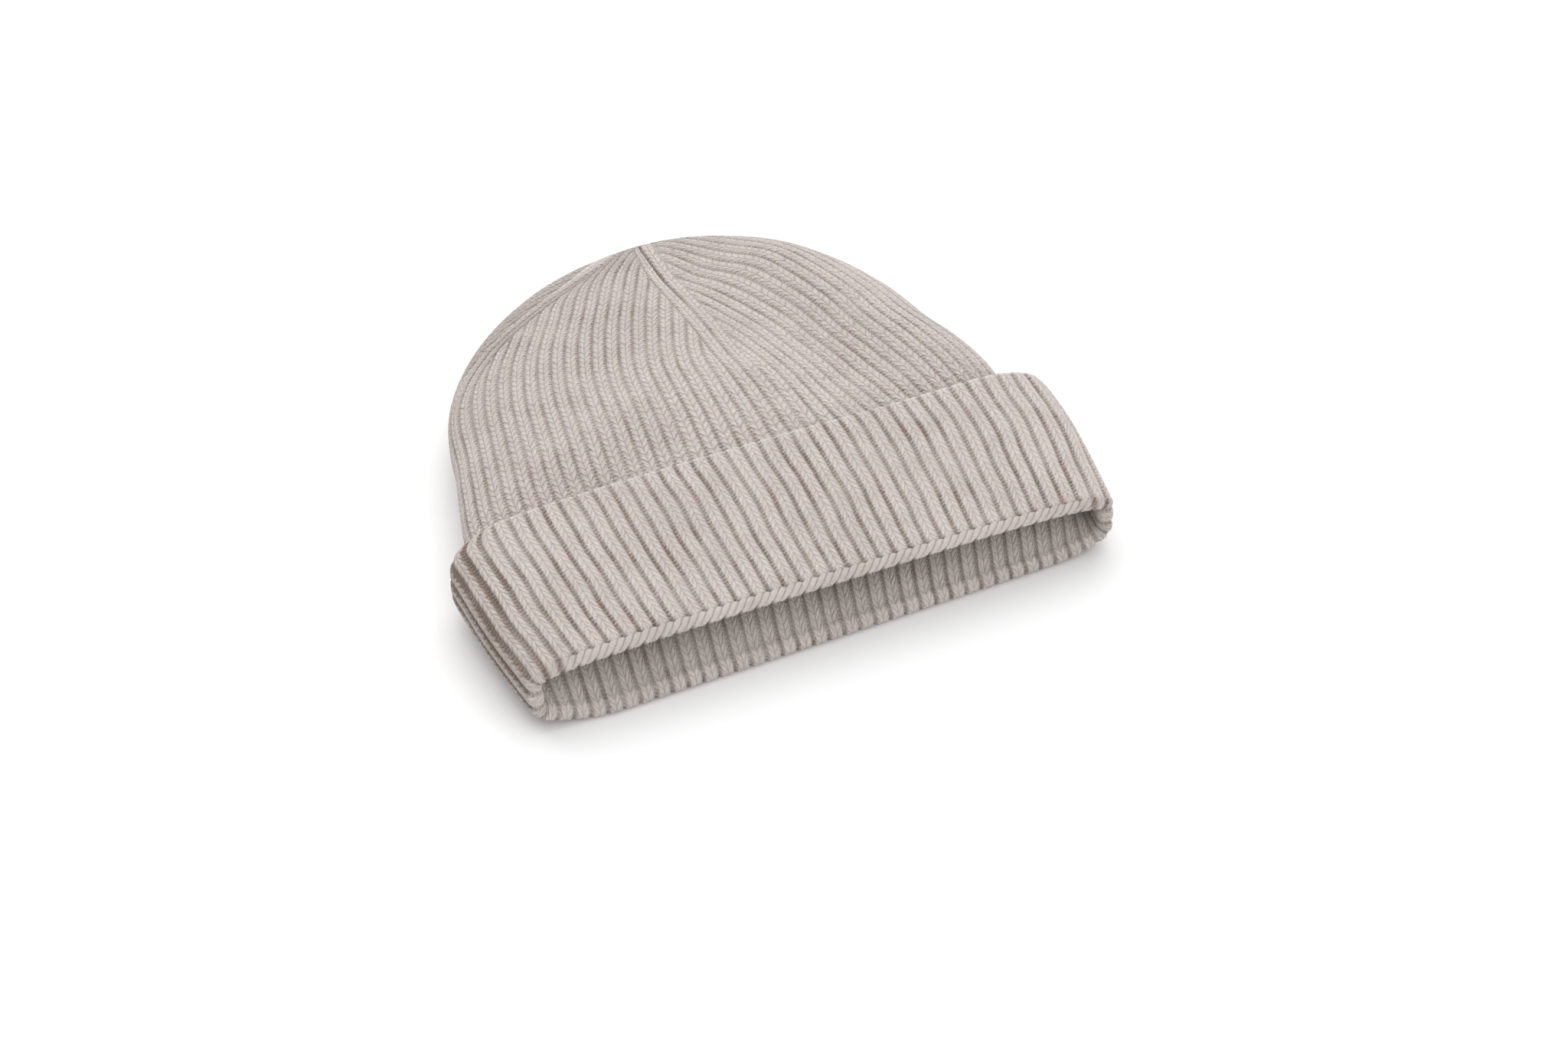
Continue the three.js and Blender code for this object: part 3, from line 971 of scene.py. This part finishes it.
# Fine relief, in parts of BUMP_DISTANCE

TOOTH_HEIGHT = 0.55
CENTRE_DIP = 0.25
STRAND_GAP_DIP = 0.6
STREAK_HEIGHT = 0.9
FLECK_HEIGHT = 0.5
HAZE_HEIGHT = 0.45

# Patches of colour, by where in their noise they start and are all there

PINK_PATCHES = (0.48, 0.66)
YELLOW_PATCHES = (0.52, 0.70)
GREY_STREAKS = (0.52, 0.80)
LIGHT_FLECKS = (0.50, 0.72)
LIGHT_FLECKS_SHARE = 0.8
# Painted light: how far the lip and the inside are lightened
LIP_AND_INSIDE_PAINTED_LIGHT = 0.5

# Painted shade in the grooves: its edges across a rib, how dark from patch to patch, and less inside

GROOVE_EDGE = (0.31, 0.47)
RAGGED = 0.34
RAGGED_BY_STITCHES = 0.05
RAGGED_OPENED = 0.15
DEEP_PATCHES = (0.35, 0.68)
LEAST_DEPTH = 0.6
PATCH_DEPTH = 0.7
INSIDE_LIGHTER = 0.35

# How much painted shade the other dark places add: creases, middles, gaps, dashes and teeth

CREASE_SHADE = 0.30
CENTRE_SHADE = 0.22
STRAND_GAP_SHADE = 0.34
DASH_SHADE = 2.4
TEETH_SHADE = 0.25
# The lip gets less painted shade
LIP_UNSHADE = 0.05
# Clouds are random darker tone, not shade
CLOUD_MIX = {"small_clouds": 0.4, "clouds": 0.5}
CLOUD_PATCHES = (0.36, 0.56)
CLOUD_SHADE = 0.13


def stitch_pattern(n, lean):
    """The forms of the knitting by name: each is how much of it there is at a place."""
    rib, course = n.uv("knit")
    strands, lip = n.uv("trim")
    opened, inside = n.uv("tone")
    place = n.add("ShaderNodeTexCoord").outputs["Object"]
    off_lip = n.math("SUBTRACT", 1.0, lip)

    # Across a rib, from 0 in its middle to 0.5 in the groove
    whole = n.math("ROUND", rib)
    aside = n.math("ABSOLUTE", n.math("SUBTRACT", rib, whole))
    leg = n.math("DIVIDE", aside, LEG_WIDTH)
    crest = n.math("MULTIPLY", n.fall(aside, *CREST_END), off_lip)
    centre = n.math("MULTIPLY", n.fall(aside, *CENTRE_END), off_lip)

    # The two legs of each stitch run outwards from the rib's middle
    slanted = n.math("SUBTRACT", course, n.math("MULTIPLY", leg, lean))
    along = n.math("ADD", slanted, n.noise(place, "wander"))
    from_middle = n.math("ABSOLUTE", n.math("MULTIPLY_ADD", n.math("FRACT", along), 2.0, -1.0))
    crease = n.math("MULTIPLY", n.step(from_middle, *CREASE_START), crest)
    across_leg = n.math("ABSOLUTE", n.math("MULTIPLY_ADD", leg, 2.0, -1.0))
    sides = n.math("POWER", across_leg, LEG_SIDES_POWER)
    plump = n.math("SUBTRACT", 1.0, n.math("POWER", from_middle, LEG_ENDS_POWER))
    plump = n.math("MULTIPLY", plump, n.math("SUBTRACT", LEG_FLAT, sides, clamp=True))
    plump = n.math("MULTIPLY", plump, crest)

    # Loops of the purl side show in the groove as fine teeth
    wobble = n.math("MULTIPLY", n.noise(place, "teeth"), TEETH_WANDER)
    ripple = n.math("MULTIPLY_ADD", course, 2 * math.pi * TEETH_PER_COURSE, wobble)
    teeth = n.math("MULTIPLY_ADD", n.math("SINE", ripple), 0.5, 0.5)
    flank = n.math("MULTIPLY", n.step(aside, *FLANK_START), off_lip)

    # Slanted strands of the lip, and the line of stitches where it starts
    from_strand = n.math("ABSOLUTE", n.math("SUBTRACT", strands, n.math("ROUND", strands)))
    strand_gap = n.math("MULTIPLY", n.step(from_strand, *STRAND_GAP_START), lip)
    dash = n.math("MULTIPLY", n.math("MULTIPLY", lip, off_lip), n.step(aside, *DASH_START))

    def fibres(name):
        parts = zip((leg, along, whole), FIBRES[name])
        return n.noise(n.combine(*(n.math("MULTIPLY", *part) for part in parts)), name)

    return {
        "place": place,
        "aside": aside,
        "plump": plump,
        "crease": crease,
        "centre": centre,
        "tooth": n.math("MULTIPLY", teeth, flank),
        "teeth_gap": n.math("MULTIPLY", n.math("SUBTRACT", 1.0, teeth), flank),
        "strand_gap": strand_gap,
        "dash": dash,
        "streaks": fibres("streaks"),
        "flecks": fibres("flecks"),
        "lip": lip,
        "off_lip": off_lip,
        "opened": opened,
        "inside": inside,
    }


def wool_height(n, form, vee):
    """The relief of stitches and fibres, in parts of BUMP_DISTANCE."""
    return n.total(
        0.0,
        (form["tooth"], TOOTH_HEIGHT),
        (form["plump"], vee),
        (form["centre"], -CENTRE_DIP * vee),
        (form["strand_gap"], -STRAND_GAP_DIP),
        (form["streaks"], STREAK_HEIGHT),
        (form["flecks"], FLECK_HEIGHT),
        (n.noise(form["place"], "haze"), HAZE_HEIGHT),
    )


def wool_painted_shade(n, form, vee, groove, opened_painted_shade, painted_end_shade):
    """Painted shade in the grooves, creases and gaps and at the cuff's left end; random darker
    clouds.
    """
    place, opened = form["place"], form["opened"]
    ragged = n.total(
        n.math("SUBTRACT", form["aside"], RAGGED / 2),
        (n.noise(place, "ragged"), RAGGED),
        (form["plump"], -RAGGED_BY_STITCHES),
        (opened, RAGGED_OPENED),
    )
    # How dark the grooves' painted shade is: more in random patches and where opened, less inside
    depth = n.total(
        LEAST_DEPTH,
        (n.step(n.noise(place, "depth"), *DEEP_PATCHES), PATCH_DEPTH),
        (form["inside"], -INSIDE_LIGHTER),
        (opened, opened_painted_shade),
    )
    # Where opened, the grooves' painted shade starts nearer the rib's middle
    edge = n.math("MULTIPLY_ADD", opened, -painted_end_shade, GROOVE_EDGE[0])
    painted_shade_and_clouds = n.step(ragged, edge, GROOVE_EDGE[1])
    painted_shade_and_clouds = n.math("MULTIPLY", painted_shade_and_clouds, n.math("MULTIPLY", form["off_lip"], groove))
    painted_shade_and_clouds = n.total(
        n.math("MULTIPLY", painted_shade_and_clouds, depth),
        (form["crease"], CREASE_SHADE * vee),
        (form["centre"], CENTRE_SHADE),
        (form["strand_gap"], STRAND_GAP_SHADE),
        (form["dash"], DASH_SHADE),
        (form["teeth_gap"], TEETH_SHADE),
        # Painted shade all over the opened knitting at the cuff's left end
        (opened, painted_end_shade),
    )
    unshade = n.math("MULTIPLY", form["lip"], LIP_UNSHADE)
    painted_shade_and_clouds = n.math("SUBTRACT", painted_shade_and_clouds, unshade, clamp=True)
    clouds = n.total(0.0, *((n.noise(place, name), share) for name, share in CLOUD_MIX.items()))
    return n.total(painted_shade_and_clouds, (n.step(clouds, *CLOUD_PATCHES), CLOUD_SHADE))


def wool_colour(n, form, painted_shade_and_clouds):
    """Fibres of several shades in patches, with painted light on the lip and inside, and darker by
    the painted shade and random clouds.
    """
    place = form["place"]
    flecked = n.math("MULTIPLY", n.step(form["flecks"], *LIGHT_FLECKS), LIGHT_FLECKS_SHARE)
    # Painted light on the lip and inside
    painted_light = n.math("MULTIPLY", n.math("MAXIMUM", form["lip"], form["inside"]), LIP_AND_INSIDE_PAINTED_LIGHT)
    colour = n.mix(n.step(n.noise(place, "pink"), *PINK_PATCHES), WOOL, WOOL_PINK)
    colour = n.mix(n.step(n.noise(place, "yellow"), *YELLOW_PATCHES), colour, WOOL_YELLOW)
    colour = n.mix(n.step(form["streaks"], *GREY_STREAKS), colour, WOOL_GREY)
    colour = n.mix(flecked, colour, WOOL_FLECK_AND_PAINTED_LIGHT)
    colour = n.mix(painted_light, colour, WOOL_FLECK_AND_PAINTED_LIGHT)
    return n.mix(painted_shade_and_clouds, colour, PAINTED_SHADE_AND_CLOUD_COLOUR)


def make_wool(name, lean, vee, groove, opened_painted_shade, painted_end_shade):
    """Wool in columns of V-shaped stitches."""
    material = bpy.data.materials.new(name)
    n = Nodes(material)
    form = stitch_pattern(n, lean)
    painted_shade_and_clouds = wool_painted_shade(n, form, vee, groove, opened_painted_shade, painted_end_shade)

    bump = n.add("ShaderNodeBump")
    bump.inputs["Strength"].default_value = 1.0
    bump.inputs["Distance"].default_value = BUMP_DISTANCE
    n.link(wool_height(n, form, vee), bump.inputs["Height"])

    shader = n.add("ShaderNodeBsdfPrincipled")
    n.link(wool_colour(n, form, painted_shade_and_clouds), shader.inputs["Base Color"])
    n.link(bump.outputs["Normal"], shader.inputs["Normal"])
    shader.inputs["Roughness"].default_value = 0.95
    shader.inputs["Specular IOR Level"].default_value = 0.12
    shader.inputs["Sheen Weight"].default_value = 0.3
    shader.inputs["Sheen Roughness"].default_value = 0.55
    output = n.add("ShaderNodeOutputMaterial")
    n.link(shader.outputs[0], output.inputs["Surface"])
    return material


# The hat. The sections are stated from a point in the mouth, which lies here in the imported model's
# frame, in millimetres.

ORIGIN = np.array((4.15, -94.4059, 0.0))


def make_hat():
    for knit, node, stitch in (
        (make_crown(), "crown", CROWN_STITCH),
        (make_cuff(), "cuff", CUFF_STITCH),
    ):
        piece = knit.make(ORIGIN, make_wool(knit.name + "_wool", **stitch))
        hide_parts(node)
        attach(piece, "root")


# Studio. Lights are broad and come from a direction: azimuth 0 is from -Y, and 90 from +X.

FLOOR_SIZE = 12.0
FLOOR_COLOUR = (0.93, 0.93, 0.93, 1.0)
WORLD_COLOUR = (1.0, 1.0, 1.0, 1.0)
WORLD_STRENGTH = 0.50
KEY = {"azimuth": 168, "elevation": 50, "strength": 2.4, "spread": 80}
FILL = {"azimuth": 15, "elevation": 38, "strength": 1.0, "spread": 80}


def direction(azimuth, elevation):
    a, e = math.radians(azimuth), math.radians(elevation)
    return Vector((math.sin(a) * math.cos(e), -math.cos(a) * math.cos(e), math.sin(e)))


def make_floor():
    mesh = bpy.data.meshes.new("floor")
    half = FLOOR_SIZE / 2
    corners = [(-half, -half, 0), (half, -half, 0), (half, half, 0), (-half, half, 0)]
    mesh.from_pydata(corners, [], [(0, 1, 2, 3)])
    material = bpy.data.materials.new("floor")
    n = Nodes(material)
    shader = n.add("ShaderNodeBsdfDiffuse")
    shader.inputs["Color"].default_value = FLOOR_COLOUR
    output = n.add("ShaderNodeOutputMaterial")
    n.link(shader.outputs[0], output.inputs["Surface"])
    mesh.materials.append(material)
    floor = bpy.data.objects.new("floor", mesh)
    bpy.context.scene.collection.objects.link(floor)


def make_sun(name, azimuth, elevation, strength, spread):
    light = bpy.data.lights.new(name, "SUN")
    light.energy = strength
    light.angle = math.radians(spread)
    sun = bpy.data.objects.new(name, light)
    bpy.context.scene.collection.objects.link(sun)
    sun.rotation_euler = direction(azimuth, elevation).to_track_quat("Z", "Y").to_euler()


def make_light():
    world = bpy.data.worlds.new("studio")
    world.use_nodes = True
    background = world.node_tree.nodes["Background"]
    background.inputs["Color"].default_value = WORLD_COLOUR
    background.inputs["Strength"].default_value = WORLD_STRENGTH
    bpy.context.scene.world = world
    make_sun("key", **KEY)
    make_sun("fill", **FILL)
    bpy.context.scene.view_settings.view_transform = "Standard"


def make_camera():
    data = bpy.data.cameras.new("camera")
    data.sensor_width = SENSOR_WIDTH
    data.lens = FOCAL_PIXELS * SENSOR_WIDTH / IMAGE_WIDTH
    data.shift_x = (IMAGE_WIDTH / 2 - TARGET_PIXEL[0]) / IMAGE_WIDTH
    data.shift_y = (TARGET_PIXEL[1] - IMAGE_HEIGHT / 2) / IMAGE_WIDTH
    data.clip_start = CLIP_START
    camera = bpy.data.objects.new("camera", data)
    back = direction(CAMERA_AZIMUTH, CAMERA_ELEVATION)
    turned = math.radians(CAMERA_AZIMUTH)
    right = Vector((math.cos(turned), math.sin(turned), 0))
    up = back.cross(right)
    turn = Matrix((right, up, back)).transposed().to_4x4()
    camera.matrix_world = Matrix.Translation(CAMERA_TARGET + back * CAMERA_DISTANCE) @ turn
    bpy.context.scene.collection.objects.link(camera)
    bpy.context.scene.camera = camera


make_camera()
make_light()
make_floor()
make_hat()

bpy.context.view_layer.update()
